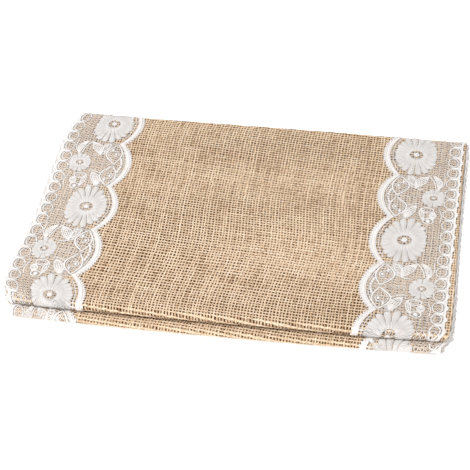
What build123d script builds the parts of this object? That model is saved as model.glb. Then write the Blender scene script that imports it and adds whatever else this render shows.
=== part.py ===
from build123d import *
import math
import os

# Folded table runner: one hemmed jute panel with a lace trim sewn along each long side.
# It is doubled end to end and then pleated back and forth into four, so eight leaves lie
# in a stack. X runs across the runner, Y from the front folds to the rear folds, Z is up.
# The origin is the middle of the footprint, on the surface that the stack lies on.
# All sizes are in millimetres.

# Driving dimensions
RUNNER_WIDTH = 305.0        # selvedge to selvedge
RUNNER_LENGTH = 1830.0      # hem fold to hem fold, laid out flat
CLOTH_THICKNESS = 0.75      # jute hessian
LACE_THICKNESS = 0.3
LACE_WIDTH = 60.0           # inner cordon to outer scallops
LACE_REVEAL = 1.5           # cloth left showing outside each trim
LACE_END_INSET = 2.0        # lace stops this far short of the hem fold
HEM_WIDTH = 20.0            # turned once to the plain side at each end
HEM_SEAM_INSET = 4.0        # hem seam, from the raw edge of the turning
SEAM_INSET = 3.0            # lace seams, in from each edge of the trim
FRONT_STEP = 5.0            # how far the lower front fold stands out past the upper one
END_SETBACK = 6.0           # shorter free end, short of the rear fold line
FOLD_GAP = 0.15             # air between two faces that are folded together
CONTACT = 0.05              # clearance between two pieces that are sewn together
THREAD_WIDTH = 0.6
THREAD_THICKNESS = 0.15     # pulled down flat into the cloth
THREAD_CLEARANCE = 0.03     # around a thread in its groove
STITCH_END = 1.0            # seams stop this far short of the piece's end
GROOVE_OVERCUT = FOLD_GAP / 4   # grooves are cut this far past the face, into the gap

FORWARD, REARWARD = -1, 1   # way a leaf runs along Y
LEFT, RIGHT = 1, -1         # way a fold turns, seen with +Y to the right and +Z up

# Levels measured from the middle of the cloth, positive towards the lace side
FACE = CLOTH_THICKNESS / 2
LACE_BOTTOM = FACE + CONTACT
LACE_TOP = LACE_BOTTOM + LACE_THICKNESS
THREAD_DEPTH = THREAD_THICKNESS + THREAD_CLEARANCE

# Heights of the eight leaves, lowest first: plain sides meet plain sides and lace meets lace
PLAIN_STEP = CLOTH_THICKNESS + FOLD_GAP
LACE_STEP = 2 * LACE_TOP + FOLD_GAP
HEM_STEP = 3 * PLAIN_STEP   # both turned hems lie between the two lowest leaves
LEAF_STEPS = [HEM_STEP, LACE_STEP, PLAIN_STEP, LACE_STEP, PLAIN_STEP, LACE_STEP, PLAIN_STEP]
LEAF_HEIGHTS = [LACE_TOP + sum(LEAF_STEPS[:leaf]) for leaf in range(len(LEAF_STEPS) + 1)]


def fold_radius(lower_leaf, upper_leaf):
    """Radius of the cloth's middle where it turns from one leaf (1 to 8) to another."""
    return (LEAF_HEIGHTS[upper_leaf - 1] - LEAF_HEIGHTS[lower_leaf - 1]) / 2


TOP_FRONT_OUTER = fold_radius(5, 8)
TOP_FRONT_INNER = fold_radius(6, 7)
LOW_FRONT_OUTER = fold_radius(1, 4)
LOW_FRONT_INNER = fold_radius(2, 3)
REAR_OUTER = fold_radius(3, 6)
REAR_INNER = fold_radius(4, 5)
MIDDLE_FOLD = fold_radius(7, 8)
HEM_FOLD = PLAIN_STEP / 2

# Straight runs: half the runner lies on each side of the middle fold
HALF_LENGTH = RUNNER_LENGTH / 2
OUTER_TURNS = math.pi * (MIDDLE_FOLD / 2 + TOP_FRONT_OUTER + REAR_INNER + LOW_FRONT_OUTER)
INNER_TURNS = math.pi * (MIDDLE_FOLD / 2 + TOP_FRONT_INNER + REAR_OUTER + LOW_FRONT_INNER)
UPPER_RUN = (HALF_LENGTH - OUTER_TURNS - 2 * FRONT_STEP + END_SETBACK) / 4
LOWER_RUN = UPPER_RUN + FRONT_STEP
OUTER_END_RUN = LOWER_RUN - END_SETBACK
INNER_END_RUN = HALF_LENGTH - INNER_TURNS - 2 * UPPER_RUN - LOWER_RUN

# Places along Y: the footprint is centred on the origin
FRONT_REACH = LOW_FRONT_OUTER + LACE_TOP
REAR_REACH = max(REAR_OUTER + LACE_TOP, INNER_END_RUN - LOWER_RUN + HEM_FOLD + FACE)
DEPTH = FRONT_REACH + LOWER_RUN + REAR_REACH
LOWER_FRONT_LINE = -DEPTH / 2 + FRONT_REACH
START = (LOWER_FRONT_LINE + INNER_END_RUN, LEAF_HEIGHTS[1])

# The way of the cloth from one hem fold to the other: straight runs and half turns
BODY_MOVES = [
    ("run", INNER_END_RUN),
    (RIGHT, LOW_FRONT_INNER),
    ("run", LOWER_RUN),
    (LEFT, REAR_OUTER),
    ("run", UPPER_RUN),
    (RIGHT, TOP_FRONT_INNER),
    ("run", UPPER_RUN),
    (LEFT, MIDDLE_FOLD),
    ("run", UPPER_RUN),
    (LEFT, TOP_FRONT_OUTER),
    ("run", UPPER_RUN),
    (RIGHT, REAR_INNER),
    ("run", LOWER_RUN),
    (LEFT, LOW_FRONT_OUTER),
    ("run", OUTER_END_RUN),
]


def trace(start, heading, moves, level):
    """Edges of the line that stays at `level` on the lace side of the cloth's middle."""
    edges = []
    y, z = start
    for kind, size in moves:
        lace_side = -heading
        begin = (0, y, z + lace_side * level)
        if kind == "run":
            y += heading * size
            edges.append(Line(begin, (0, y, z + lace_side * level)))
        else:
            centre = z - lace_side * size * kind
            reach = (0, y + heading * (size + level * kind), centre)
            z = 2 * centre - z
            heading = -heading
            edges.append(ThreePointArc(begin, reach, (0, y, z - lace_side * level)))
    return edges


def ribbon(start, heading, moves, low, high, x_from, x_to):
    """Solid band that follows the cloth between two levels and two places across it."""
    lower = trace(start, heading, moves, low)
    upper = trace(start, heading, moves, high)
    first_end = Line(lower[0] @ 0, upper[0] @ 0)
    last_end = Line(lower[-1] @ 1, upper[-1] @ 1)
    section = make_face(Wire(lower + [last_end] + upper + [first_end]))
    band = extrude(section, amount=x_to - x_from, dir=(1, 0, 0))
    return Pos(x_from, 0, 0) * band


def shortened(moves, start, inset):
    """The same way with both free ends cut back by `inset`."""
    first = ("run", moves[0][1] - inset)
    last = ("run", moves[-1][1] - inset)
    return (start[0] - inset, start[1]), [first] + moves[1:-1] + [last]


def cloth_moves():
    """Way of the whole panel, from raw edge to raw edge through both turned hems."""
    hem = [("run", HEM_WIDTH), (LEFT, HEM_FOLD)]
    start = (START[0] - HEM_WIDTH, START[1] - 2 * HEM_FOLD)
    return start, hem + BODY_MOVES + hem[::-1]


def trim_span(side):
    """Places across the runner where a trim starts and ends; side is -1 left, 1 right."""
    outer = side * (RUNNER_WIDTH / 2 - LACE_REVEAL)
    inner = outer - side * LACE_WIDTH
    return min(inner, outer), max(inner, outer)


def seam_places(side):
    """Inner and outer seam of a trim, as places across the runner."""
    low, high = trim_span(side)
    inner, outer = (high, low) if side < 0 else (low, high)
    return {"inner": inner + side * SEAM_INSET, "outer": outer - side * SEAM_INSET}


def seam_band(place, low, high, spare):
    """Band along a lace seam, as wide as a thread and `spare` more on each side."""
    start, moves = shortened(BODY_MOVES, START, LACE_END_INSET + STITCH_END - spare)
    half = THREAD_WIDTH / 2 + spare
    return ribbon(start, FORWARD, moves, low, high, place - half, place + half)


def needle_thread(place):
    """Upper thread of a lace seam, sunk into the lace."""
    return seam_band(place, LACE_TOP - THREAD_THICKNESS, LACE_TOP, 0)


def needle_groove(place):
    return seam_band(place, LACE_TOP - THREAD_DEPTH, LACE_TOP + GROOVE_OVERCUT, THREAD_CLEARANCE)


def bobbin_thread(place):
    """Lower thread of a lace seam, sunk into the plain side of the cloth."""
    return seam_band(place, -FACE, -FACE + THREAD_THICKNESS, 0)


def bobbin_groove(place):
    return seam_band(place, -FACE - GROOVE_OVERCUT, -FACE + THREAD_DEPTH, THREAD_CLEARANCE)


def hem_places():
    """Each hem's fold line along Y, the height of its leaf and the way its turning lies."""
    outer_end = (LOWER_FRONT_LINE + OUTER_END_RUN, LEAF_HEIGHTS[0])
    return {"inner": (START[0], START[1], -1), "outer": (outer_end[0], outer_end[1], 1)}


def hem_band(fold_line, low, high, spare):
    """Straight band across the runner on a hem's seam line, between the two trims."""
    reach = RUNNER_WIDTH / 2 - LACE_REVEAL - LACE_WIDTH - STITCH_END + spare
    half = THREAD_WIDTH / 2 + spare
    seam = fold_line - HEM_WIDTH + HEM_SEAM_INSET
    size = (2 * reach, 2 * half, high - low)
    return Pos(0, seam, (low + high) / 2) * Box(*size)


def hem_thread(fold_line, surface, outward, sunk, spare):
    """Band sunk below a surface at height `surface` that faces up (1) or down (-1)."""
    inside = surface - outward * sunk
    outside = surface + outward * (GROOVE_OVERCUT if spare else 0)
    return hem_band(fold_line, min(inside, outside), max(inside, outside), spare)


def hem_surfaces(height, turning):
    """Lace side of the leaf and plain side of its turned hem, each with the way it faces."""
    leaf_side = (height - turning * FACE, -turning)
    hem_side = (height + turning * (2 * HEM_FOLD + FACE), turning)
    return {"needle": leaf_side, "bobbin": hem_side}


def burlap_panel():
    start, moves = cloth_moves()
    half = RUNNER_WIDTH / 2
    panel = ribbon(start, REARWARD, moves, -FACE, FACE, -half, half)
    for side in (-1, 1):
        for place in seam_places(side).values():
            panel -= bobbin_groove(place)
    for fold_line, height, turning in hem_places().values():
        for surface, outward in hem_surfaces(height, turning).values():
            panel -= hem_thread(fold_line, surface, outward, THREAD_DEPTH, THREAD_CLEARANCE)
    return panel


def lace_trim(side):
    start, moves = shortened(BODY_MOVES, START, LACE_END_INSET)
    low, high = trim_span(side)
    trim = ribbon(start, FORWARD, moves, LACE_BOTTOM, LACE_TOP, low, high)
    for place in seam_places(side).values():
        trim -= needle_groove(place)
    return trim


def write(name, shape):
    export_step(shape, os.path.join("parts", name + ".step"))


def build():
    os.makedirs("parts", exist_ok=True)
    write("burlap_panel", burlap_panel())
    for side, hand in ((-1, "left"), (1, "right")):
        write(hand + "_lace_trim", lace_trim(side))
        for seam, place in seam_places(side).items():
            write(f"{hand}_{seam}_seam_needle_thread", needle_thread(place))
            write(f"{hand}_{seam}_seam_bobbin_thread", bobbin_thread(place))
    for hem, (fold_line, height, turning) in hem_places().items():
        for thread, (surface, outward) in hem_surfaces(height, turning).items():
            solid = hem_thread(fold_line, surface, outward, THREAD_THICKNESS, 0)
            write(f"{hem}_end_hem_{thread}_thread", solid)


build()
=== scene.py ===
import math

import bpy
import numpy as np
from mathutils import Matrix, Vector


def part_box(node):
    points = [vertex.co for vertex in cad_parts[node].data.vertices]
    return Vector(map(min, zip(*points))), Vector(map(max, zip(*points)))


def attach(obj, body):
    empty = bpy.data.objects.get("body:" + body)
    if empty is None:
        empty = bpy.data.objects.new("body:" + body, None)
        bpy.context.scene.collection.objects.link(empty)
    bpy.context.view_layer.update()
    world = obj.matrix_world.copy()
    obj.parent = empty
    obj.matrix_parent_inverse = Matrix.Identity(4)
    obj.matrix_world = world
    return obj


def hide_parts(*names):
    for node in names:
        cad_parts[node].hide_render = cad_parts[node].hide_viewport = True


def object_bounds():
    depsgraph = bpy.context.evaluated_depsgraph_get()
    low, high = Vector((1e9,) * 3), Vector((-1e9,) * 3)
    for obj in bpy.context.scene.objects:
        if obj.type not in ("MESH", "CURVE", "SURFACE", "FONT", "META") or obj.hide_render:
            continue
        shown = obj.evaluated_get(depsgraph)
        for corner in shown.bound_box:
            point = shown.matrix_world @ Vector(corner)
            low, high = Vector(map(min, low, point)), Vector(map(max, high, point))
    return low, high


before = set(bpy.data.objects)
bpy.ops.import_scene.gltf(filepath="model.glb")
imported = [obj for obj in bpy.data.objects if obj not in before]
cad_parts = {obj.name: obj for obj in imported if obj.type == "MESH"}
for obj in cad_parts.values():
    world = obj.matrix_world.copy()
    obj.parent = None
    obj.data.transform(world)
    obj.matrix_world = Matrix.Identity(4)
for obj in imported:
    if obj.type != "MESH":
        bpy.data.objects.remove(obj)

CAD_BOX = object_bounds()
MM = 0.001

# --------------------------------
# Sizes of the folded runner in millimetres. u runs across the cloth, s along it from one
# hem fold to the other, and h is the height above the middle of the cloth, towards the
# lace side.

PANEL_LOW, PANEL_HIGH = (np.array(corner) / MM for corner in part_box("burlap_panel"))
WIDTH = PANEL_HIGH[0] - PANEL_LOW[0]
HALF_WIDTH = WIDTH / 2
STACK_LOW, STACK_HIGH = (np.array(corner) / MM for corner in CAD_BOX)
STACK_HEIGHT = STACK_HIGH[2] - STACK_LOW[2]

LENGTH = 1830.0
CLOTH = 0.75
LACE = 0.3
CONTACT = 0.05
FOLD_GAP = 0.15
HEM_WIDTH = 20.0
FRONT_STEP = 5.0
END_SETBACK = 6.0
LACE_END_INSET = 2.0
HEM_SEAM_INSET = 4.0
LACE_LOW = CLOTH / 2 + CONTACT
LACE_HIGH = LACE_LOW + LACE

PLAIN_STEP = CLOTH + FOLD_GAP
LACE_STEP = 2 * LACE_HIGH + FOLD_GAP
LEAF_STEPS = [3 * PLAIN_STEP, LACE_STEP, PLAIN_STEP, LACE_STEP, PLAIN_STEP, LACE_STEP, PLAIN_STEP]
LEAF_HEIGHTS = LACE_HIGH + np.concatenate([[0], np.cumsum(LEAF_STEPS)])


def fold_radius(lower_leaf, upper_leaf):
    return (LEAF_HEIGHTS[upper_leaf - 1] - LEAF_HEIGHTS[lower_leaf - 1]) / 2


MIDDLE_FOLD = fold_radius(7, 8)
TOP_OUTER, TOP_INNER = fold_radius(5, 8), fold_radius(6, 7)
LOW_OUTER, LOW_INNER = fold_radius(1, 4), fold_radius(2, 3)
REAR_OUTER, REAR_INNER = fold_radius(3, 6), fold_radius(4, 5)
HEM_FOLD = PLAIN_STEP / 2
UPPER_RUN = (LENGTH / 2 - math.pi * (MIDDLE_FOLD / 2 + TOP_OUTER + REAR_INNER + LOW_OUTER)
             - 2 * FRONT_STEP + END_SETBACK) / 4
LOWER_RUN = UPPER_RUN + FRONT_STEP
OUTER_END = LOWER_RUN - END_SETBACK
INNER_END = LENGTH / 2 - math.pi * (MIDDLE_FOLD / 2 + TOP_INNER + REAR_OUTER + LOW_INNER) \
    - 2 * UPPER_RUN - LOWER_RUN
LOWER_FRONT_LINE = STACK_LOW[1] + LOW_OUTER + LACE_HIGH
REAR_LINE = LOWER_FRONT_LINE + LOWER_RUN
UPPER_FRONT_LINE = REAR_LINE - UPPER_RUN

LEFT_TURN, RIGHT_TURN = 1, -1
MOVES = [
    ("first_hem", "run", HEM_WIDTH),
    ("first_hem_fold", LEFT_TURN, HEM_FOLD),
    ("lowest_inner", "run", INNER_END),
    ("low_front_inner", RIGHT_TURN, LOW_INNER),
    ("third_inner", "run", LOWER_RUN),
    ("rear_outer", LEFT_TURN, REAR_OUTER),
    ("sixth_inner", "run", UPPER_RUN),
    ("top_front_inner", RIGHT_TURN, TOP_INNER),
    ("seventh_inner", "run", UPPER_RUN),
    ("middle_fold", LEFT_TURN, MIDDLE_FOLD),
    ("top_leaf", "run", UPPER_RUN),
    ("top_front", LEFT_TURN, TOP_OUTER),
    ("fifth_leaf", "run", UPPER_RUN),
    ("rear_inner", RIGHT_TURN, REAR_INNER),
    ("fourth_leaf", "run", LOWER_RUN),
    ("low_front", LEFT_TURN, LOW_OUTER),
    ("lowest_leaf", "run", OUTER_END),
    ("last_hem_fold", LEFT_TURN, HEM_FOLD),
    ("last_hem", "run", HEM_WIDTH),
]


def plan_fold():
    """Start length, start point, heading and kind of each stretch of the folded cloth."""
    y, z = LOWER_FRONT_LINE + INNER_END - HEM_WIDTH, LEAF_HEIGHTS[1] - 2 * HEM_FOLD
    s, heading = -HEM_WIDTH - math.pi * HEM_FOLD, 1
    plan = []
    for name, kind, size in MOVES:
        plan.append((name, kind, size, s, y, z, heading))
        if kind == "run":
            y += heading * size
            s += size
        else:
            z += 2 * heading * kind * size
            s += math.pi * size
            heading = -heading
    return plan, s


PLAN, S_END = plan_fold()
S_START = PLAN[0][3]
START_OF = {stretch[0]: stretch[3] for stretch in PLAN}


def folded(s, h):
    """Y and Z of the points at length s and level h on the ideal fold."""
    s, h = np.broadcast_arrays(np.asarray(s, float), np.asarray(h, float))
    starts = np.array([stretch[3] for stretch in PLAN])
    which = np.clip(np.searchsorted(starts, s, side="right") - 1, 0, len(PLAN) - 1)
    y_out, z_out = np.empty(s.shape), np.empty(s.shape)
    for index, (_, kind, size, s0, y0, z0, heading) in enumerate(PLAN):
        here = which == index
        if not here.any():
            continue
        along, level = s[here] - s0, h[here]
        if kind == "run":
            y_out[here] = y0 + heading * along
            z_out[here] = z0 - heading * level
        else:
            turn = along / size
            reach = size + level * kind
            centre = z0 + heading * kind * size
            y_out[here] = y0 + heading * reach * np.sin(turn)
            z_out[here] = centre - heading * kind * reach * np.cos(turn)
    return y_out, z_out


def ease(value, low, high):
    """Grows smoothly from 0 at `low` to 1 at `high`, and stays level outside them."""
    t = np.clip((value - low) / (high - low), 0, 1)
    return t * t * (3 - 2 * t)


BUNDLES_MEET = 6.0      # height at which the upper leaves lie on the lower ones


def settle(x, y, z):
    """How the real stack lies: soft in the middle, pressed at its folds, a little skewed."""
    past_hems = 1 - ease(y, 50, 80)
    z = z - 1.2 * past_hems * np.interp(z, LEAF_HEIGHTS[[0, 1, 7]], [0, 1, 0])
    lift = z / STACK_HEIGHT
    upper = np.clip((z - BUNDLES_MEET) / (STACK_HEIGHT - BUNDLES_MEET), 0, 1)
    side = x / HALF_WIDTH
    front = 1 - ease(y, UPPER_FRONT_LINE - 1, UPPER_FRONT_LINE + 30)
    rear = ease(y, REAR_LINE - 12, REAR_LINE + 2)
    ripple = (0.45 * np.sin(y / 27 + 0.6 + 0.6 * side) + 0.3 * np.sin(y / 15.5 - 1.2 * side + 2)
              + 0.35 * np.sin(x / 41 + y / 60 + 1))
    middle = (1 - front) * (1 - rear)
    z_out = z + lift * (0.7 + ripple) * middle \
        + upper * (0.1 - 0.25 * side) * front - upper * 0.3 * rear
    z_out = z_out + lift * 0.25 * np.sin(x / 33 + 0.7) * (front + rear)
    bow = 2.6 * (side ** 2 - 0.45) * (1 - ease(y, 0, REAR_LINE)) + 1.2 * ease(y, 40, REAR_LINE)
    lean = ease(-x, 40, 150) * (5.6 * ease(y, -80, -5) - 1.0) * (0.3 + 0.7 * upper)
    fan = -3.2 * np.exp(-((x - 95) / 30) ** 2) * ease(-y, -30, 80)
    at_left = ease(-x, 112, 152)
    tuck_left = 6.5 * at_left * (1 - ease(y, UPPER_FRONT_LINE - 2, UPPER_FRONT_LINE + 15)) \
        + 5.5 * at_left * ease(y, REAR_LINE - 32, REAR_LINE + 2)
    low_tuck = np.where(side > 0, 6.5, 2.5) * side ** 3 * (1 - upper) \
        * (1 - ease(y, LOWER_FRONT_LINE - 3, LOWER_FRONT_LINE + 16))
    shift = 1.4 * np.sin(math.pi * np.clip(lift, 0, 1)) * ease(y, -110, -60) \
        * (0.7 + 0.3 * np.sin(y / 40))
    cloth_edge = 2.6 * ease(x, 148.5, 153) * ease(y, -100, 60)
    x_out = x + shift * (0.5 + 0.5 * side) + lean + fan + tuck_left - low_tuck - cloth_edge
    plump = upper * front
    return x_out, y + bow + 1.8 * plump, np.maximum(z_out + 1.3 * plump, 0)


def lay(u, s, h):
    """Points of the finished, settled runner in metres."""
    y, z = folded(s, h)
    u = np.broadcast_to(u, y.shape)
    return np.stack(settle(u, y, z), axis=-1) * MM


# --------------------------------
# Meshes

def outward(points, groups):
    """The same faces, turned round if the closed shape they make is inside out."""
    volume = 0.0
    for faces in groups:
        a = points[faces[:, 0]]
        for k in range(1, faces.shape[1] - 1):
            b, c = points[faces[:, k]], points[faces[:, k + 1]]
            volume += float(np.einsum("ij,ij->", a, np.cross(b, c)))
    return [faces[:, ::-1] for faces in groups] if volume < 0 else groups


def make_mesh(name, points, groups, closed=True):
    """A mesh object from points and groups of faces with equal numbers of corners."""
    groups = [faces for faces in groups if len(faces)]
    if closed:
        groups = outward(points, groups)
    corners = np.concatenate([faces.ravel() for faces in groups]).astype(np.int32)
    sizes = np.concatenate([np.full(len(faces), faces.shape[1]) for faces in groups])
    starts = np.concatenate([[0], np.cumsum(sizes)[:-1]]).astype(np.int32)
    mesh = bpy.data.meshes.new(name)
    mesh.vertices.add(len(points))
    mesh.vertices.foreach_set("co", np.asarray(points, np.float32).ravel())
    mesh.loops.add(len(corners))
    mesh.loops.foreach_set("vertex_index", corners)
    mesh.polygons.add(len(sizes))
    mesh.polygons.foreach_set("loop_start", starts)
    mesh.polygons.foreach_set("use_smooth", np.ones(len(sizes), bool))
    mesh.update(calc_edges=True)
    piece = bpy.data.objects.new(name, mesh)
    bpy.context.scene.collection.objects.link(piece)
    return piece


def add_attribute(piece, name, values):
    """One number at each point of a piece, for its material to read."""
    attribute = piece.data.attributes.new(name, "FLOAT", "POINT")
    attribute.data.foreach_set("value", np.asarray(values, np.float32).ravel())


def finish_piece(piece, material, replaces=()):
    """Gives a piece its material and body, and hides the CAD nodes that it stands for."""
    piece.data.materials.append(material)
    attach(piece, "root")
    if replaces:
        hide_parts(*replaces)
    return piece


def tube_faces(count, rings, sides):
    """Quads and end caps of `count` closed tubes, each with `rings` rings of `sides` points."""
    base = np.arange(count)[:, None, None] * rings * sides
    ring = np.arange(rings - 1)[None, :, None] * sides
    side = np.arange(sides)[None, None, :]
    after = (side + 1) % sides
    quads = np.stack([base + ring + side, base + ring + after,
                      base + ring + sides + after, base + ring + sides + side], axis=-1)
    first = base[:, :, 0] + np.arange(sides)[::-1]
    last = base[:, :, 0] + (rings - 1) * sides + np.arange(sides)
    return [quads.reshape(-1, 4), np.concatenate([first, last])]


def grid_faces(rows, columns):
    """Quads of a grid whose points are numbered row by row."""
    index = np.arange(rows * columns).reshape(rows, columns)
    quads = [index[:-1, :-1], index[:-1, 1:], index[1:, 1:], index[1:, :-1]]
    return index, np.stack(quads, axis=-1).reshape(-1, 4)


# --------------------------------
# Shader maths

class Socket:
    """Wraps a node socket, so that shader maths reads as arithmetic."""

    def __init__(self, shader, link):
        self.shader, self.link = shader, link

    def _math(self, operation, *values):
        return self.shader.maths(operation, *values)

    def __add__(self, other):
        return self._math("ADD", self, other)

    def __radd__(self, other):
        return self._math("ADD", other, self)

    def __sub__(self, other):
        return self._math("SUBTRACT", self, other)

    def __rsub__(self, other):
        return self._math("SUBTRACT", other, self)

    def __mul__(self, other):
        return self._math("MULTIPLY", self, other)

    def __rmul__(self, other):
        return self._math("MULTIPLY", other, self)


class Shader:
    """One material, with its nodes made by one method."""

    def __init__(self, name, colour):
        self.material = bpy.data.materials.new(name)
        self.material.use_nodes = True
        self.material.diffuse_color = (*colour, 1)
        self.tree = self.material.node_tree
        self.surface = self.tree.nodes["Principled BSDF"]
        self.surface.inputs["Base Color"].default_value = (*colour, 1)

    def node(self, kind, settings=None, values=None, output=0):
        made = self.tree.nodes.new(kind)
        for key, value in (settings or {}).items():
            if key == "stops":
                self._stops(made.color_ramp, value)
            else:
                setattr(made, key, value)
        for key, value in (values or {}).items():
            self.plug(made.inputs[key], value)
        return Socket(self, made.outputs[output])

    def _stops(self, ramp, stops):
        while len(ramp.elements) < len(stops):
            ramp.elements.new(0.5)
        for element, (place, colour) in zip(ramp.elements, stops):
            element.position, element.color = place, (*colour, 1)

    def plug(self, socket, value):
        if isinstance(value, Socket):
            self.tree.links.new(value.link, socket)
        else:
            socket.default_value = value

    def set(self, **values):
        for key, value in values.items():
            self.plug(self.surface.inputs[key.replace("_", " ").title()], value)

    def shine(self, amount):
        self.surface.inputs["Specular IOR Level"].default_value = amount

    def maths(self, operation, *values):
        return self.node("ShaderNodeMath", {"operation": operation}, dict(enumerate(values)))

    def place(self):
        return self.node("ShaderNodeTexCoord", output="Object")

    def attribute(self, name):
        return self.node("ShaderNodeAttribute", {"attribute_name": name}, output="Fac")

    def noise(self, scale, detail=2.0, vector=None):
        return self.node("ShaderNodeTexNoise", {"noise_dimensions": "3D"},
                         {"Vector": vector or self.place(), "Scale": scale, "Detail": detail})

    def stretched(self, vector, stretch, turn):
        return self.node("ShaderNodeMapping", {"vector_type": "POINT"},
                         {"Vector": vector, "Rotation": turn, "Scale": stretch})

    def ramp(self, factor, stops):
        return self.node("ShaderNodeValToRGB", {"stops": stops}, {"Fac": factor})

    def blend(self, factor, first, second):
        return self.node("ShaderNodeMix", {"data_type": "RGBA"},
                         {0: factor, 6: first, 7: second}, output=2)

    def ridge(self, value):
        """1 along evenly spaced lines of a value that grows by 1 from line to line, 0 between."""
        return self.maths("COSINE", value * (2 * math.pi)) * 0.5 + 0.5

    def bump(self, height, strength, distance):
        return self.node("ShaderNodeBump", None,
                         {"Height": height, "Strength": strength, "Distance": distance})


def jute_yarn(name, stretch):
    """Spun jute; its fibres lie at a slant along the yarn, whose way `stretch` gives."""
    shader = Shader(name, (0.70, 0.52, 0.34))
    # the tone attribute holds each yarn's random tone, and painted shade between its crossings
    tone = shader.attribute("tone")
    along = shader.stretched(shader.place(), stretch, (0, 0, 0.38))
    fibre = shader.noise(2600, 3.0, along)
    strand = shader.noise(1100, 2.0, along)
    blotch = shader.noise(60, 2.0)
    level = 0.5 + (tone - 0.5) * 0.9 + (fibre - 0.5) * 0.75 \
        + (strand - 0.5) * 0.55 + (blotch - 0.5) * 0.2
    colour = shader.ramp(level, [(0, (0.29, 0.155, 0.066)), (0.34, (0.765, 0.56, 0.375)),
                                 (0.6, (0.905, 0.725, 0.535)), (1, (0.98, 0.885, 0.76))])
    rough = 0.78 + (fibre - 0.5) * 0.3
    relief = fibre * 0.6 + strand * 0.8
    shader.set(base_color=colour, roughness=rough, normal=shader.bump(relief, 0.8, 0.00025))
    shader.shine(0.2)
    return shader.material


def jute_core_hole_shade():
    """Inside of the cloth: painted dark brown as the shade seen deep in the holes of the weave, and
    tan, the jute's own colour, at its edges.
    """
    shader = Shader("jute_core_hole_shade", (0.05, 0.03, 0.015))
    edge = shader.attribute("edge")
    grain = shader.noise(700, 3.0)
    # painted shade: the dark brown that shows through the holes of the weave
    hole_shade = shader.ramp(grain, [(0.3, (0.05, 0.02, 0.006)), (0.7, (0.11, 0.05, 0.017))])
    tan = shader.ramp(grain, [(0.3, (0.22, 0.13, 0.07)), (0.7, (0.52, 0.37, 0.23))])
    shader.set(base_color=shader.blend(edge, hole_shade, tan), roughness=0.8 + grain * 0.15,
               normal=shader.bump(grain, 0.6, 0.0003))
    shader.shine(0.1)
    return shader.material


def lace_cotton(name, bright):
    """Thread of the lace; `bright` lightens or darkens its tints."""
    shader = Shader(name, (0.86, 0.84, 0.83))
    filament = shader.noise(1600, 3.0)
    cloud = shader.noise(90, 2.0)
    level = 0.5 + (filament - 0.5) * 0.7 + (cloud - 0.5) * 0.4
    tints = [(0.2, (0.60, 0.565, 0.54)), (0.5, (0.735, 0.705, 0.685)),
             (0.85, (0.84, 0.825, 0.815))]
    stops = [(place, tuple(bright * part for part in tint)) for place, tint in tints]
    shader.set(base_color=shader.ramp(level, stops), roughness=0.62 + filament * 0.2,
               normal=shader.bump(filament, 0.45, 0.00015))
    shader.shine(0.25)
    return shader.material


FINE_THREADS_ACROSS, FINE_THREADS_ALONG = 625, 526     # in a metre of the net


def lace_ground():
    """Fine net: thin threads that cross on the slant, and clear openings between them."""
    shader = Shader("lace_ground", (0.88, 0.86, 0.85))
    place = shader.node("ShaderNodeUVMap", {"uv_map": "cut"})
    split = shader.node("ShaderNodeSeparateXYZ", None, {"Vector": place}).link.node
    across = Socket(shader, split.outputs["X"]) * FINE_THREADS_ACROSS
    along = Socket(shader, split.outputs["Y"]) * FINE_THREADS_ALONG
    rising = shader.ridge(across + along)
    falling = shader.ridge(across - along)
    thread = shader.maths("MAXIMUM", rising, falling)
    cloud = shader.noise(420, 2.0)
    solid = shader.node("ShaderNodeMapRange", None,
                        {0: thread + (cloud - 0.5) * 0.5, 1: 0.72, 2: 0.9})
    colour = shader.ramp(cloud, [(0.3, (0.80, 0.77, 0.75)), (0.7, (0.92, 0.91, 0.90))])
    shader.set(base_color=colour, roughness=0.65 + cloud * 0.2,
               alpha=solid * shader.attribute("ground") * 0.2)
    return shader.material


def sewing_thread(name, colour):
    """Twisted thread of one colour, with painted shade in its twist."""
    shader = Shader(name, colour)
    twist = shader.noise(2400, 2.0)
    darker = tuple(0.72 * part for part in colour)
    # painted shade for the grooves of the twist, spread by noise
    twist_shade = shader.ramp(twist, [(0.3, darker), (0.7, colour)])
    shader.set(base_color=twist_shade, roughness=0.5 + twist * 0.2,
               normal=shader.bump(twist, 0.4, 0.0001))
    return shader.material


# --------------------------------
# Weave: warp yarns run along the cloth, weft yarns across it, one over and one under

rng = np.random.default_rng(20)
WARP_COUNT = 142
WARP_PITCH = WIDTH / WARP_COUNT
WEFT_PITCH = 2.75
SPARE_WEFTS = 12        # rows past each raw edge, for the skew
WEFT_FIRST = int(S_START / WEFT_PITCH) - SPARE_WEFTS
WEFT_LAST = int(S_END / WEFT_PITCH) + SPARE_WEFTS
WARP_HALF, WEFT_HALF = 0.66, 0.68   # half the width of a yarn
YARN_RISE = 0.15        # of a yarn's middle, where it passes over another
YARN_HALF_HEIGHT = 0.14
WARP_DIP_SHADE, WEFT_DIP_SHADE = 0.3, 0.06      # painted shade: how much darker a yarn is painted between its crossings, where it dips between its neighbours
OPENNESS = 0.2          # share of a yarn's width that the patches change
SKEW_ROOM = 11          # more length to weave, because the rows are skewed
CORE_TOP, CORE_BOTTOM = -0.16, -0.36    # levels of the sheet under the yarns
WEFT_COUNT = WEFT_LAST - WEFT_FIRST
WARP_STRAY, WEFT_STRAY = rng.normal(0, 0.1, WARP_COUNT), rng.normal(0, 0.14, WEFT_COUNT)
WARP_TONE, WEFT_TONE = rng.normal(0, 0.045, WARP_COUNT), rng.normal(0, 0.05, WEFT_COUNT)
WARP_FULL, WEFT_FULL = 1 + rng.normal(0, 0.045, WARP_COUNT), 1 + rng.normal(0, 0.055, WEFT_COUNT)


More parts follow.
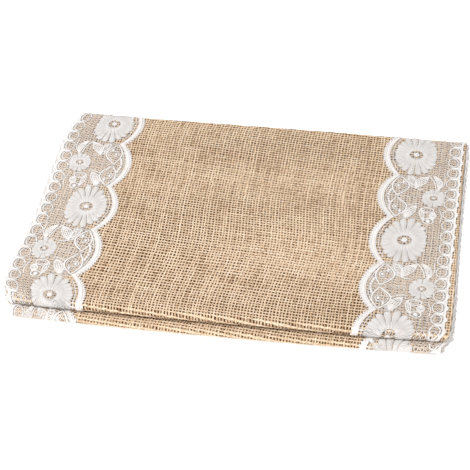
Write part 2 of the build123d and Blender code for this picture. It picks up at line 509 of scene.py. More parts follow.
def patches(u, s):
    """Slow change of the weave's openness over the cloth, from -1 open to 1 close."""
    along = s - START_OF["top_leaf"] + 9 * np.sin(u / 47)
    along = along - 0.36 * np.maximum(along - 110, 0)
    smooth = 0.7 * np.exp(-((u - 45) / 60) ** 2 - ((along - 135) / 38) ** 2)
    at_nose = 0.5 * ease(s, START_OF["top_front"] - 10, START_OF["top_front"] - 2)
    return (-0.56 * np.cos(2 * math.pi * (along - 30) / 78) + 0.2 * np.sin(u / 29 + s / 83)
            + 0.18 * np.sin(s / 13 - u / 53 + 2.0) + at_nose + smooth)


def node_places(warps, wefts):
    """Where each warp and each weft yarn cross, as u and s."""
    u = -HALF_WIDTH + (warps + 0.5) * WARP_PITCH
    u = (u + WARP_STRAY[warps])[:, None] + np.zeros(len(wefts))
    s = (wefts * WEFT_PITCH + WEFT_STRAY[wefts - WEFT_FIRST])[None, :] + np.zeros((len(warps), 1))
    across = np.cos(math.pi * u / WIDTH)
    skew = 9.5 * np.sin(math.pi * u / WIDTH)    # less than SKEW_ROOM
    sway = across * (2.2 * np.sin(s / 27 + 0.4) + 1.1 * np.sin(s / 15.5 + 1.9 + u / 70))
    weave_noise = 0.15 * np.sin(s * 1.7 + u * 0.9) + 0.15 * np.sin(u * 2.1 - s * 0.6)
    s = s + 7 * np.clip((s - START_OF["top_leaf"] - 160) / 52, 0, 1)    # wider rows in front
    s_out = s + skew + 0.5 * across * np.sin(u / 21 + s / 37) + weave_noise
    return u + sway + weave_noise, s_out


def smooth_rows(rows, columns, reach):
    """Random rows of numbers near 0 that change slowly from one to the next."""
    raw = rng.normal(0, 1, (rows, columns + reach))
    kernel = np.hanning(reach + 2)[1:-1]
    kernel /= np.sqrt((kernel ** 2).sum())
    return np.stack([np.convolve(row, kernel, "same")[:columns] for row in raw])


def with_middles(values):
    """Puts the mean of each two neighbours between them, along the last axis."""
    out = np.empty((values.shape[0], 2 * values.shape[1] - 1))
    out[:, ::2] = values
    out[:, 1::2] = (values[:, 1:] + values[:, :-1]) / 2
    return out


def yarns(name, u, s, over, half, tone, dip_shade, runs_along, sides, middles):
    """A set of yarns that share a direction, from their crossings' places."""
    height = YARN_RISE * over
    if middles:
        u, s, height, half, tone = (with_middles(v) for v in (u, s, height, half, tone))
        # painted shade on the yarn between its crossings, where it dips between its neighbours
        tone[:, 1::2] -= dip_shade
    angles = math.pi / 2 + 2 * math.pi * np.arange(sides) / sides
    wide = half[..., None] * np.cos(angles)
    tall = YARN_HALF_HEIGHT * np.sin(angles)
    cross_u = u[..., None] + (wide if runs_along else 0)
    cross_s = s[..., None] + (0 if runs_along else wide)
    cross_h = height[..., None] + tall + np.zeros_like(wide)
    points = lay(cross_u + np.zeros_like(wide), cross_s + np.zeros_like(wide), cross_h)
    piece = make_mesh(name, points.reshape(-1, 3), tube_faces(*u.shape, sides))
    add_attribute(piece, "tone", np.repeat(tone.ravel(), sides))
    return piece


def yarn_half_widths(base, full, u, s):
    """Half the width of each yarn at its crossings; spun jute is thick and thin by turns."""
    slubs = smooth_rows(*u.shape, 9) * 0.085
    bulge = np.clip(smooth_rows(*u.shape, 15) - 1.9, 0, 1) * 0.5
    return base * full * (1 + OPENNESS * patches(u, s) + slubs + bulge)


def weave(name, warps, wefts, sides=5, middles=True, kinds=("warp", "weft")):
    """Warp and weft yarns over one area of the cloth, as up to two pieces."""
    u, s = node_places(warps, wefts)
    over = np.where((warps[:, None] + wefts[None, :]) % 2 == 0, 1.0, -1.0)
    rows = wefts - WEFT_FIRST
    warp_half = yarn_half_widths(WARP_HALF, WARP_FULL[warps][:, None], u, s)
    weft_half = yarn_half_widths(WEFT_HALF, WEFT_FULL[rows][:, None], u.T, s.T)
    warp_tone = 0.5 + WARP_TONE[warps][:, None] + 0.07 * smooth_rows(*u.shape, 7)
    weft_tone = 0.5 + WEFT_TONE[rows][:, None] + 0.07 * smooth_rows(*u.T.shape, 7)
    made = []
    if "warp" in kinds:
        made.append(yarns(f"{name}_warp_yarns", u, s, over, warp_half, warp_tone,
                          WARP_DIP_SHADE, True, sides, middles))
    if "weft" in kinds:
        made.append(yarns(f"{name}_weft_yarns", u.T, s.T, -over.T, weft_half, weft_tone,
                          WEFT_DIP_SHADE, False, sides, middles))
    return made


def weft_rows(first, before, last, after):
    """Weft rows between the starts of two stretches of the fold, with more at both ends."""
    low = START_OF[first] - SKEW_ROOM - before
    high = START_OF[last] + SKEW_ROOM + after
    return np.arange(math.ceil(low / WEFT_PITCH), math.floor(high / WEFT_PITCH) + 1)


def stray_fibres(count):
    """Loose jute fibres that stand a little out of the cloth where it shows."""
    top, low = START_OF["middle_fold"] - 4, START_OF["fifth_leaf"] + 2
    s = rng.uniform(top, low, count)
    nose = rng.random(count) < 0.14
    s[nose] = rng.uniform(START_OF["low_front"] - 6, START_OF["lowest_leaf"], nose.sum())
    u = rng.uniform(-HALF_WIDTH + 3, HALF_WIDTH - 3, count)
    way = rng.uniform(0, 2 * math.pi, count)
    length = rng.uniform(2.0, 7.0, count)
    t = np.linspace(-0.5, 0.5, 5)
    curl = rng.normal(0, 0.35, count)[:, None] * (t ** 2 - 0.1) * 4
    turn = way[:, None] + curl
    path_u = u[:, None] + length[:, None] * t * np.cos(turn)
    path_s = s[:, None] + length[:, None] * t * np.sin(turn)
    rise = 0.42 + rng.uniform(0.05, 0.75, count)[:, None] * np.array([0.0, 0.55, 0.9, 1.0, 0.8])
    return path_u, path_s, rise


def fibre_piece(name, count):
    half, sides = 0.055, 3
    u, s, h = stray_fibres(count)
    angles = 2 * math.pi * np.arange(sides) / sides
    way_u, way_s = np.gradient(u, axis=1), np.gradient(s, axis=1)
    size = np.hypot(way_u, way_s)
    ring_u = u[..., None] - half * np.cos(angles) * (way_s / size)[..., None]
    ring_s = s[..., None] + half * np.cos(angles) * (way_u / size)[..., None]
    ring_h = h[..., None] + half * np.sin(angles) + 0 * ring_u
    points = lay(ring_u, ring_s, ring_h).reshape(-1, 3)
    piece = make_mesh(name, points, tube_faces(*u.shape, sides))
    tone = 0.62 + rng.normal(0, 0.12, count)
    add_attribute(piece, "tone", np.repeat(tone, u.shape[1] * sides))
    return piece


def cloth_pieces(warp_material, weft_material):
    """Yarns of every stretch of cloth that shows from outside."""
    every_warp = np.arange(WARP_COUNT)
    left_warps, right_warps = every_warp[:WARP_COUNT // 2], every_warp[WARP_COUNT // 2:]
    top = weft_rows("middle_fold", 3, "fifth_leaf", 4)
    rear_rows, front_rows = top[:len(top) // 2], top[len(top) // 2:]
    nose = weft_rows("low_front", 18, "lowest_leaf", 2)
    under = np.arange(nose[-1], weft_rows("low_front", 18, "last_hem", 2)[-1])
    rear = weft_rows("rear_outer", 2, "sixth_inner", 2)
    end = weft_rows("lowest_inner", 4, "lowest_inner", 4)
    made = []
    made += weave("top_left", left_warps, top, kinds=("warp",))
    made += weave("top_right", right_warps, top, kinds=("warp",))
    made += weave("top_rear", every_warp, rear_rows, kinds=("weft",))
    made += weave("top_front", every_warp, front_rows, kinds=("weft",))
    made += weave("lower_front_fold", every_warp, nose)
    made += weave("underside", every_warp, under, sides=4, middles=False, kinds=("warp",))
    made += weave("underside", every_warp, under[1:], sides=4, middles=False, kinds=("weft",))
    made += weave("rear_fold", every_warp, rear, sides=4)
    made += weave("inner_end", every_warp, end, sides=4, middles=False)
    made.append(fibre_piece("stray_jute_fibres", 1800))
    for piece in made:
        material = weft_material if "weft" in piece.name else warp_material
        finish_piece(piece, material)
    return made


def burlap_core(material):
    """The cloth's body under the yarns, one unbroken sheet from raw edge to raw edge."""
    run_step, fold_steps = 4.5, 8
    stations = [S_START]
    for _, kind, size, s0, *_ in PLAN:
        length = size if kind == "run" else math.pi * size
        steps = math.ceil(length / run_step) if kind == "run" else fold_steps
        stations += list(s0 + length * np.arange(1, steps + 1) / steps)
    u = np.linspace(-HALF_WIDTH + 0.4, HALF_WIDTH - 0.4, 26)
    u = np.concatenate([u[:1], [u[0] + 3], u[1:-1], [u[-1] - 3], u[-1:]])
    grid_s, grid_u = np.meshgrid(np.array(stations), u, indexing="ij")
    top = lay(grid_u, grid_s, np.full(grid_u.shape, CORE_TOP))
    bottom = lay(grid_u, grid_s, np.full(grid_u.shape, CORE_BOTTOM))
    points = np.concatenate([top.reshape(-1, 3), bottom.reshape(-1, 3)])
    index, cells = grid_faces(*grid_u.shape)
    rim = np.concatenate([index[0, :], index[1:, -1], index[-1, -2::-1], index[-2:0:-1, 0]])
    after = np.roll(rim, -1)
    under = index.size
    walls = np.stack([after, rim, rim + under, after + under], -1)
    piece = make_mesh("burlap_cloth", points, [cells, cells[:, ::-1] + under, walls])
    # edge is 1 at the raw side edges, where the core shows its own tan, and 0 elsewhere, where it
    # is painted as the shade in the holes
    edge = ease(np.abs(grid_u), HALF_WIDTH - 3.5, HALF_WIDTH - 1)
    add_attribute(piece, "edge", np.concatenate([edge.ravel(), edge.ravel()]))
    return finish_piece(piece, material, ["burlap_panel"])


# --------------------------------
# Lace: w runs from its outer edge towards the middle of the runner and v along it, with
# 0 at the eye of a big flower. One repeat has a big flower, then a small one between two
# loops, and a cordon waves past both.

REPEAT = 103.5
QUARTER = REPEAT / 4
LACE_SPAN = 60.0
BIG_FLOWER_AT, SMALL_FLOWER_AT = 34.6, 18.4     # middles of the flowers, as w
CORDON_LOW, CORDON_WAVE = 45.9, 10.2    # middle of the cordon, and how far it waves
BORDER_CELLS = 8                # rings of the border in one repeat
BORDER_INSIDE = 1.6             # where the fine ground starts, as w
NET_COLUMN, NET_ROW = 2.15, 2.7     # size of one hexagon of the net
SIDE = {"left": -1, "right": 1}
LACE_OVERHANG = {"left": (0.8, 0.8), "right": (-3.6, 1.6)}      # on the top, elsewhere
FIRST_FLOWER = {"left": REAR_LINE - 102.2, "right": REAR_LINE - 93.3}
HIDDEN_REPEAT = {"left": 110.0, "right": 92.0}

STITCH, STITCH_GAP = 2.6, 0.5
STITCH_HALF = 0.2 * np.array([0.5, 1, 1, 0.5])     # half the width, along a stitch
SEAM_END = 4.0      # lace seams stop this far from the hem folds


def flower_lines(hand):
    """Lengths s of the big flowers' eyes; repeats on the hidden leaves differ a little."""
    start = START_OF["top_leaf"] + FIRST_FLOWER[hand]
    before = list(np.arange(start - REPEAT, -REPEAT, -REPEAT))[::-1]
    lines, s = [], start
    while s < LENGTH + REPEAT:
        lines.append(s)
        hidden = START_OF["fifth_leaf"] + 20 < s < START_OF["low_front"] - 60
        s += HIDDEN_REPEAT[hand] if hidden else REPEAT
    return before + lines


def nearest_flower(hand, s):
    """Length of the big flower's eye that is nearest to each length s."""
    lines = np.array(flower_lines(hand))
    return lines[np.abs(lines[None, :] - s[:, None]).argmin(axis=1)]


def shown(s, reach):
    """Whether lace within `reach` of length s can be seen on the finished stack."""
    top = START_OF["middle_fold"] - 2 - reach < s < START_OF["fifth_leaf"] + 2 + reach
    low = START_OF["low_front"] - 12 - reach < s
    rear = START_OF["rear_outer"] - 2 - reach < s < START_OF["sixth_inner"] + 2 + reach
    return top or low or rear


def lace_edge(hand, s):
    """Distance of the trim's outer edge from the runner's middle; it strays a little."""
    on_top, elsewhere = LACE_OVERHANG[hand]
    top = ease(s, START_OF["middle_fold"] - 16, START_OF["middle_fold"] + 1) \
        * (1 - ease(s, START_OF["top_front"] + 2, START_OF["fifth_leaf"] + 22))
    return HALF_WIDTH + elsewhere + (on_top - elsewhere) * top


def cordon_middle(v):
    """Place across the lace of the cordon's middle, at v from a big flower's eye."""
    return CORDON_LOW + CORDON_WAVE * np.abs(np.cos(2 * math.pi * np.asarray(v) / REPEAT)) ** 0.75


class Threadwork:
    """Collects flat cords and lumps in the plane of the lace, to make one piece."""

    def __init__(self):
        self.points, self.groups, self.count = [], [], 0

    def cord(self, w, v, half, lift=0.0, thick=0.1, sides=4):
        """Cords along paths, one in each row; `half` is half their width."""
        w, v, half = np.broadcast_arrays(np.atleast_2d(w), np.atleast_2d(v), half)
        way_w, way_v = np.gradient(w, axis=1), np.gradient(v, axis=1)
        size = np.hypot(way_w, way_v) + 1e-9
        angles = math.pi / 2 + 2 * math.pi * np.arange(sides) / sides
        across = half[..., None] * np.cos(angles)
        ring_w = w[..., None] - across * (way_v / size)[..., None]
        ring_v = v[..., None] + across * (way_w / size)[..., None]
        level = LACE_LOW + lift + thick * (1 + np.sin(angles)) + np.zeros_like(ring_w)
        self.points.append(np.stack([ring_w, ring_v, level], -1).reshape(-1, 3))
        self.groups += [faces + self.count for faces in tube_faces(*w.shape, sides)]
        self.count += ring_w.size

    def blob(self, w, v, half_w, half_v, lift=0.0, thick=0.1, sides=5, rings=5):
        """Flat oval lumps, with their middles at w and v."""
        w, v = np.atleast_1d(w)[:, None], np.atleast_1d(v)[:, None]
        along = np.cos(math.pi * (np.arange(rings) + 0.35) / (rings - 0.3))
        half = half_w * np.sqrt(np.clip(1 - along ** 2, 0.02, 1))
        self.cord(w + 0 * along, v + half_v * along, half + 0 * w, lift, thick, sides)

    def ring(self, w, v, half_w, half_v, half, lift=0.0):
        """Closed cords round ovals."""
        turn = 2 * math.pi * np.arange(15) / 14
        w, v = np.atleast_1d(w)[:, None], np.atleast_1d(v)[:, None]
        self.cord(w + half_w * np.cos(turn), v + half_v * np.sin(turn), half, lift)

    def bow(self, start, end, bulge, half, lift=0.0, count=8, **more):
        """A cord from one place to another that bows out to its left by `bulge`."""
        t = np.linspace(0, 1, count)
        start, end = np.array(start, float), np.array(end, float)
        way = end - start
        left = np.array([-way[1], way[0]]) / np.hypot(*way)
        path = start + t[:, None] * way + bulge * np.sin(math.pi * t)[:, None] * left
        self.cord(path[:, 0], path[:, 1], half, lift, **more)

    def all_work(self):
        return np.concatenate(self.points), self.groups

    def copied_along(self, lines):
        """The same work at each of the lengths in `lines`, as w, s and h, with its faces."""
        w, v, h = np.concatenate(self.points).T
        copies = [np.column_stack([w, line - v, h]) for line in lines]
        offsets = [index * self.count for index in range(len(lines))]
        return np.concatenate(copies), [faces + start for start in offsets for faces in self.groups]


def lace_piece(name, hand, points, groups):
    """A piece of lace from places w, s and h on the trim of one hand."""
    s = np.clip(points[:, 1], LACE_END_INSET, LENGTH - LACE_END_INSET)
    u = SIDE[hand] * (lace_edge(hand, s) - points[:, 0])
    by_size = {}
    for faces in groups:
        by_size.setdefault(faces.shape[1], []).append(faces)
    joined = [np.concatenate(faces) for faces in by_size.values()]
    return make_mesh(name, lay(u, s, points[:, 2]), joined)


def petals(work, w, v, half_w, half_v, count, eye, lift):
    """Long scalloped petals round an open eye, each with four threads laid along it."""
    turn = 2 * math.pi * (np.arange(count) + 0.5) / count
    reach = 1 / np.sqrt((np.cos(turn) / half_w) ** 2 + (np.sin(turn) / half_v) ** 2)
    reach *= 1 + 0.025 * np.cos(3 * turn + 0.5) - 0.03 * (np.arange(count) % 2)
    t = np.concatenate([np.linspace(0, 0.88, 11), [0.94, 0.985, 1.0]])
    swell = np.interp(t, [0, 0.2, 0.42, 0.64, 0.82, 0.93, 0.985, 1.0],
                      [0.8, 0.95, 1.05, 1.1, 1.1, 0.9, 0.55, 0.2])
    radius = eye + (reach - eye)[:, None] * t
    stretch = half_v / half_w
    crowd = np.sqrt(np.cos(turn) ** 2 * stretch + np.sin(turn) ** 2 / stretch)[:, None]
    pitch = 2 * math.pi * radius / count * crowd
    half = 0.6 * np.maximum(pitch, 0.55 * pitch[:, -1:]) * swell
    cosine, sine = np.cos(turn)[:, None], np.sin(turn)[:, None]
    middle_w, middle_v = w + radius * cosine, v + radius * sine
    work.cord(middle_w, middle_v, half, lift, 0.06, sides=6)
    for offset in (-0.62, -0.2, 0.24, 0.64):
        spread = offset * half * np.sqrt(t)
        work.cord(middle_w - spread * sine, middle_v + spread * cosine,
                  0.15 * half.mean(), lift + 0.09, 0.045, sides=3)


def flower(work, w, v, half_w, half_v, count, eye, knot):
    """Petals, and a knot held by spokes in the open eye."""
    petals(work, w, v, half_w, half_v, count, eye, 0.02)
    work.blob(w, v, knot, knot, 0.05, 0.1, sides=8, rings=6)
    spokes = 2 * math.pi * (np.arange(8)[:, None] + 0.3) / 8
    reach = np.linspace(knot * 0.8, eye + 0.5, 3)
    work.cord(w + reach * np.cos(spokes), v + reach * np.sin(spokes), 0.3, 0.02, 0.07)


def leaf(work, start, end, bulge, half, lift=0.0, veins=3):
    """A leaf that narrows to both ends: two edges with threads laid between them."""
    for share in np.linspace(-1, 1, veins + 2):
        edge = abs(share) == 1
        work.bow(start, end, bulge + share * half, 0.48 if edge else 0.36,
                 lift + 0.05 * edge, count=9, thick=0.08)
    start, end = np.array(start, float), np.array(end, float)
    way = end - start
    left = np.array([-way[1], way[0]]) / np.hypot(*way)
    ribs = np.linspace(0.14, 0.86, max(3, int(np.hypot(*way) / 2.2)))
    bow = np.sin(math.pi * ribs)
    first = start + ribs[:, None] * way + ((bulge - half) * bow)[:, None] * left
    last = start + ribs[:, None] * way + ((bulge + half) * bow)[:, None] * left
    middle = (first + last) / 2 + way / np.hypot(*way) * 0.5
    rib_w = np.stack([first[:, 0], middle[:, 0], last[:, 0]], 1)
    rib_v = np.stack([first[:, 1], middle[:, 1], last[:, 1]], 1)
    work.cord(rib_w, rib_v, 0.36, lift + 0.02, 0.07)


def hatch(work, w_from, w_to, v_from, v_to, slant):
    """Extra slanting threads that make the ground closer over a small field."""
    v = np.arange(v_from, v_to, 1.25)
    edge = np.sin(math.pi * (v - v_from + 0.6) / (v_to - v_from + 1.2))
    middle, half = (w_from + w_to) / 2, (w_to - w_from) / 2 * np.sqrt(edge)
    ends = np.array([-1, 0, 1])
    work.cord(middle + half[:, None] * ends, v[:, None] + slant * ends, 0.33, 0.03, 0.07)


def repeat_flowers():
    """The big and the small flower of one repeat of the lace."""
    work = Threadwork()
    flower(work, BIG_FLOWER_AT, 0, 15.6, 25.2, count=24, eye=4.9, knot=2.4)
    flower(work, SMALL_FLOWER_AT, -REPEAT / 2, 8.3, 11.8, count=16, eye=2.9, knot=1.3)
    return work


def repeat_leaves():
    """Loops, leaves and the openwork arc of one repeat."""
    work = Threadwork()
    gap = np.linspace(-19.5, 19.5, 31)
    work.cord(cordon_middle(gap) - 4.15, gap, 0.26, 0.03)
    bars = np.linspace(-20, 20, 13)
    bars_w = cordon_middle(bars)[:, None] - np.array([5.6, 4.0, 2.2])
    work.cord(bars_w, bars[:, None] * np.array([0.985, 1, 1.01]), 0.3, 0.02)

    middle = -REPEAT / 2

    def at(w, past):
        """A place from the small flower's middle on along the lace."""
        return w, middle + past

    for way in (1, -1):
        tip, end = at(43.8, way * 25.0), at(44.9, way * 1.3)
        work.bow(tip, end, way * -7.6, 0.68, 0.06, count=14)
        work.bow(tip, end, way * 4.6, 0.6, 0.06, count=14)
        work.bow(at(42.2, way * 21.0), at(43.6, way * 4.4), way * -4.6, 0.26, 0.04, count=9)
        by_cordon = at(cordon_middle(middle + way * 6) - 3.6, way * 6.0)
        work.bow(tip, by_cordon, way * 1.4, 0.3, 0.04, count=9)
        turn = np.linspace(0.2, 1.75, 16) * math.pi
        reach = np.linspace(4.6, 1.7, 16)
        curl = at(43.6 - reach * np.cos(turn), way * (12.6 + reach * np.sin(turn)))
        work.cord(*curl, 0.42, 0.05)
        work.blob(*at([44.6, 41.2], way * np.array([13.2, 18.2])), 1.3, 1.5, 0.04)
        spray = way * np.array([1.8, 4.4, 7.0])
        work.blob(*at([50.9, 50.3, 49.7], spray), 1.25, 1.3, 0.05)
        work.bow(at(45.2, way * 1.0), at(49.9, way * 9.2), way * 0.9, 0.36, 0.04)
        hatch(work, 31.0, 40.0, middle + way * 20.5 - 6, middle + way * 20.5 + 6, way * 2.0)
    work.bow(at(36.6, 14.0), at(26.4, 9.6), 0.8, 0.5, 0.05)
    work.bow(at(36.9, -11.0), at(27.6, -8.4), -0.8, 0.5, 0.05)

    leaf(work, at(32.2, 11.5), at(23.4, 26.5), -1.2, 3.6, 0.02, veins=4)
    leaf(work, at(20.4, 28.0), at(15.4, 10.5), -2.6, 2.1, 0.04)
    work.bow(at(25.2, 29.0), at(17.6, 12.0), -1.9, 0.5, 0.05)
    for bulge in (2.2, -2.2):
        work.bow(at(38.4, 25.5), at(31.4, 13.4), bulge, 0.4, 0.05, count=10)
    leaf(work, at(29.8, -10.0), at(37.0, -25.5), 0.8, 3.4)
    work.ring(*at(21.8, -15.4), 4.5, 3.3, 0.6, 0.05)
    work.ring(*at(21.8, -15.4), 2.6, 1.8, 0.3, 0.05)
    leaf(work, at(17.0, -17.6), at(17.6, -26.4), 0.3, 2.5, 0.04, veins=4)
    work.ring(*at(20.3, -28.6), 3.6, 3.3, 0.55, 0.05)
    work.blob(*at(20.3, -28.6), 2.1, 2.0, 0.03)
    leaf(work, at(26.6, -13.4), at(24.2, -28.0), 0.0, 1.6, veins=1)
    work.bow(at(13.5, -14.0), at(12.0, -30.0), -1.4, 0.42, 0.04)
    work.bow(at(13.5, 13.0), at(12.6, 30.0), 1.6, 0.36, 0.04)
    return work


def cordon(work, middle, fine):
    """One wave of the cordon, with its threads and a row of knots on its inner side."""
    sides = 6 if fine else 4
    v = middle + np.linspace(-1, 1, 57 if fine else 15) * (QUARTER + 0.6)
    w = cordon_middle(np.clip(v, middle - QUARTER, middle + QUARTER))
    taper = 1 - 0.28 * (np.abs(v - middle) / QUARTER) ** 6
    picot = 0.22 * np.cos(2 * math.pi * v / 2.3)
    work.cord(w, v, 2.3 * taper + picot, 0.0, 0.09, sides)
    if not fine:
        return
    for offset in (-1.75, -0.6, 0.6, 1.8):
        work.cord(w + offset * taper, v, 0.4, 0.1, 0.055)
    knots = middle + np.arange(-10.5, 11) * (2 * QUARTER / 22)
    slope = np.gradient(cordon_middle(knots), knots)
    reach = 2.5 / np.hypot(1, slope)
    work.blob(cordon_middle(knots) + reach, knots - slope * reach, 0.75, 0.82, 0.02, 0.1,
              sides=4, rings=4)


def border(work, fine):
    """The scalloped outer border of one repeat, with a ring over each scallop."""
    cell = REPEAT / BORDER_CELLS
    v = np.linspace(-QUARTER * 2, QUARTER * 2, 121 if fine else 61)
    wave = np.cos(2 * math.pi * v / cell)
    scallop = 0.42 * np.cos(4 * math.pi * v / cell)
    half = 1.25 + 0.25 * wave + scallop * 0.6
    work.cord(1.9 + 0.7 * wave, v, half, 0.0, 0.09, 6 if fine else 4)
    cells = (np.arange(BORDER_CELLS) - (BORDER_CELLS - 1) / 2) * cell
    cusps = cells + cell / 2
    reach = np.array([2.2, 3.6, 5.2, 7.0, 8.8])
    work.cord(reach, cusps[:, None] + np.zeros(5), np.array([2.7, 2.0, 1.35, 0.8, 0.4]), 0.03, 0.1)
    if fine:
        work.cord(0.8 + 0.6 * wave - scallop, v, 0.38, 0.09, 0.06)
        work.cord(2.6 + 0.9 * wave, v, 0.4, 0.09, 0.06)
        work.ring(6.9, cells, 3.5, 5.2, 0.46, 0.04)


def repeat_edges(fine):
    """Edges of one repeat: the waved cordon inside, the scalloped border outside."""
    work = Threadwork()
    cordon(work, 0, fine)
    cordon(work, -REPEAT / 2, fine)
    border(work, fine)
    return work


def open_gap(w, v, inner):
    """Whether a place is in the openwork that runs along the cordon past a big flower."""
    return (np.abs(v) < QUARTER - 2) & (w > inner - 6.5) & (w > 36)


def in_oval(w, v, half_w, half_v):
    return (w / half_w) ** 2 + (v / half_v) ** 2 < 1


def net_cords(hand):
    """The ground of the lace where it shows: columns of thread that zigzag into hexagons."""
    work = Threadwork()
    step = NET_ROW / 2
    v = np.arange(-REPEAT / 2, REPEAT / 2 + step, step)
    inner = cordon_middle(v)
    for line in flower_lines(hand):
        if not shown(line, REPEAT):
            continue
        near = np.array([shown(line - place, 3) for place in v])
        for column in range(int(LACE_SPAN / NET_COLUMN)):
            zigzag = np.where((np.arange(len(v)) + column) % 2, 1, -1)
            w = 2.8 + column * NET_COLUMN + 0.36 * NET_COLUMN * zigzag
            big = in_oval(w - BIG_FLOWER_AT, v, 15.2, 24.6)
            small = in_oval(w - SMALL_FLOWER_AT, np.abs(v) - REPEAT / 2, 7.6, 11)
            keep = near & ~big & ~small & ~open_gap(w, v, inner) & (w < inner - 1)
            edges = np.flatnonzero(np.diff(np.concatenate([[0], keep.astype(int), [0]])))
            for first, last in zip(edges[::2], edges[1::2]):
                if last - first > 1:
                    stray = rng.normal(0, 0.1, (2, last - first))
                    work.cord(w[first:last] + stray[0], v[first:last] + stray[1] - line,
                              0.38, 0.02, 0.07, sides=3)
    points, groups = work.all_work()
    points[:, 1] *= -1
    return points, groups


def lace_net(hand, material):
    """The lace's fine ground over its whole length, one sheet from border to cordon."""
    s = np.arange(LACE_END_INSET, LENGTH - LACE_END_INSET + 0.1, 2.0)
    v = (nearest_flower(hand, s) - s)[:, None]
    inner = cordon_middle(v)
    w = BORDER_INSIDE + (inner - BORDER_INSIDE) * np.linspace(0, 1, 22)
    grid_s = np.broadcast_to(s[:, None], w.shape)
    _, cells = grid_faces(*w.shape)
    if hand == "left":
        cells = cells[:, ::-1]
    u = SIDE[hand] * (lace_edge(hand, grid_s) - w)
    laid = lay(u, grid_s, np.full(w.shape, LACE_LOW))
    piece = make_mesh(f"{hand}_lace_net", laid.reshape(-1, 3), [cells], closed=False)
    add_attribute(piece, "ground", np.where(open_gap(w, v, inner), 0, 1))
    flat = np.stack([w, grid_s], axis=-1).reshape(-1, 2) * MM
    corner = np.empty(len(piece.data.loops), np.int32)
    piece.data.loops.foreach_get("vertex_index", corner)
    cut = piece.data.uv_layers.new(name="cut")
    cut.data.foreach_set("uv", flat[corner].astype(np.float32).ravel())
    return finish_piece(piece, material, [f"{hand}_lace_trim"])


def lace_trim(hand, net_material, thread_material, petal_material):
    """One trim: its fine ground, the net's cords, the motifs and the two edges."""
    lines = flower_lines(hand)
    seen = [line for line in lines if shown(line, 62)]
    hidden = [line for line in lines if line not in seen]
    net = lace_net(hand, net_material)
    parts = {
        "mesh": net_cords(hand),
        "flowers": repeat_flowers().copied_along(seen),
        "leaves": repeat_leaves().copied_along(seen),
        "edges": repeat_edges(True).copied_along(seen),
        "inner_edges": repeat_edges(False).copied_along(hidden),
    }
    made = []
    for part, work in parts.items():
        material = petal_material if part == "flowers" else thread_material
        made.append(finish_piece(lace_piece(f"{hand}_lace_{part}", hand, *work), material))
    return net, made


def stitches(first, last):
    """Places along each stitch of a seam, one stitch in each row."""
    starts = np.arange(first, last - STITCH, STITCH)
    return starts[:, None] + np.array([0, 0.25, 0.75, 1]) * (STITCH - STITCH_GAP)


def lace_seams(hand, material):
    """Four threads hold each trim: needle threads on the lace, bobbin threads under the cloth."""
    made = []
    s = stitches(SEAM_END, LENGTH - SEAM_END)
    under_s = np.arange(SEAM_END, LENGTH - SEAM_END, 3.0)
    on_cordon = cordon_middle(nearest_flower(hand, s[:, 0])[:, None] - s) + 0.6
    under_cordon = cordon_middle(nearest_flower(hand, under_s) - under_s) + 0.6
    for seam, needle_w, bobbin_w in (("inner", on_cordon, under_cordon), ("outer", 2.4, 2.4)):
        needle, bobbin = Threadwork(), Threadwork()
        needle.cord(needle_w, s, STITCH_HALF, 0.13, 0.075)
        bobbin.cord(bobbin_w, under_s, 0.2, -LACE_LOW - 0.52, 0.06)
        for kind, work in (("needle", needle), ("bobbin", bobbin)):
            name = f"{hand}_{seam}_seam_{kind}_"
            piece = lace_piece(name + "stitches", hand, *work.all_work())
            made.append(finish_piece(piece, material, [name + "thread"]))
    return made


def hem_seams(material):
    """A needle and a bobbin thread across each turned hem."""
    made = []
    reach = HALF_WIDTH - LACE_SPAN - 2
    u = stitches(-reach, reach)
    seam = HEM_WIDTH - HEM_SEAM_INSET
    places = {"inner_end_hem_needle": seam, "outer_end_hem_needle": LENGTH - seam,
              "inner_end_hem_bobbin": S_START + HEM_SEAM_INSET,
              "outer_end_hem_bobbin": S_END - HEM_SEAM_INSET}
    for name, place in places.items():
        angles = math.pi / 2 * np.arange(4)
        ring_u = u[..., None] + np.zeros(4)
        ring_s = place + STITCH_HALF[:, None] * np.cos(angles) + np.zeros_like(ring_u)
        ring_h = LACE_LOW + 0.02 + 0.07 * np.sin(angles) + np.zeros_like(ring_u)
        points = lay(ring_u, ring_s, ring_h).reshape(-1, 3)
        piece = make_mesh(name + "_stitches", points, tube_faces(*u.shape, 4))
        made.append(finish_piece(piece, material, [name + "_thread"]))
    return made


# --------------------------------
# Stage

def make_stage():
    bpy.ops.object.select_all(action="DESELECT")
    bpy.ops.mesh.primitive_plane_add(size=8, location=(0, 0, -0.0004))
    floor = bpy.context.object
    floor.name = "floor"
    shader = Shader("floor_white", (0.93, 0.93, 0.93))
    shader.set(roughness=0.9)
    shader.surface.inputs["Emission Color"].default_value = (1, 1, 1, 1)
    shader.surface.inputs["Emission Strength"].default_value = 0.45
    floor.data.materials.append(shader.material)


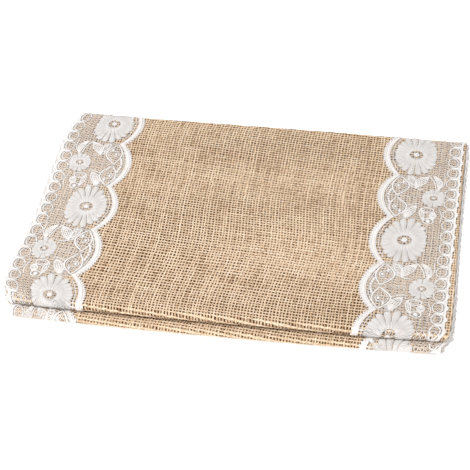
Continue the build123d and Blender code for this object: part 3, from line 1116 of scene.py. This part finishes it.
def area_light(name, place, size, power):
    """A round lamp that shines at the middle of the runner."""
    data = bpy.data.lights.new(name, "AREA")
    data.shape, data.size, data.energy = "DISK", size, power
    lamp = bpy.data.objects.new(name, data)
    lamp.location = place
    lamp.rotation_euler = (-Vector(place)).to_track_quat("-Z", "Y").to_euler()
    bpy.context.scene.collection.objects.link(lamp)


def make_light():
    world = bpy.data.worlds.new("studio")
    bpy.context.scene.world = world
    world.use_nodes = True
    background = world.node_tree.nodes["Background"]
    background.inputs["Color"].default_value = (1, 1, 1, 1)
    background.inputs["Strength"].default_value = 0.56
    area_light("key", (-0.9, -0.35, 1.5), size=1.0, power=23)
    area_light("fill", (1.2, -1.2, 1.1), size=1.6, power=12)
    scene = bpy.context.scene
    scene.view_settings.view_transform = "Standard"
    scene.view_settings.look = "None"


def make_camera():
    elevation, turn, roll = math.radians(37.9), math.radians(-8.81), math.radians(0.63)
    aim = Vector((-4.6, -19.4, STACK_HEIGHT)) * MM
    distance = 1.4256
    tilt = Matrix.Rotation(turn, 4, "Z").inverted() \
        @ Matrix.Rotation(math.pi / 2 - elevation, 4, "X") @ Matrix.Rotation(-roll, 4, "Z")
    data = bpy.data.cameras.new("camera")
    data.sensor_width = 36
    data.lens = 155.34
    camera = bpy.data.objects.new("camera", data)
    camera.matrix_world = Matrix.Translation(aim + tilt.to_3x3() @ Vector((0, 0, distance))) @ tilt
    bpy.context.scene.collection.objects.link(camera)
    bpy.context.scene.camera = camera


make_stage()
make_light()
make_camera()

panel = burlap_core(jute_core_hole_shade())
warp_material = jute_yarn("jute_warp_yarn", (1, 0.16, 0.6))
weft_material = jute_yarn("jute_weft_yarn", (0.16, 1, 0.6))
cloth = cloth_pieces(warp_material, weft_material)
cloth += hem_seams(sewing_thread("hem_thread", (0.72, 0.56, 0.39)))
(S_END - S_START) * MM

lace_materials = lace_ground(), lace_cotton("lace_cord", 1.2), lace_cotton("lace_petal", 1.02)
seam_material = sewing_thread("lace_seam_thread", (0.78, 0.76, 0.74))
for hand in ("left", "right"):
    net, trimmings = lace_trim(hand, *lace_materials)
    trimmings += lace_seams(hand, seam_material)
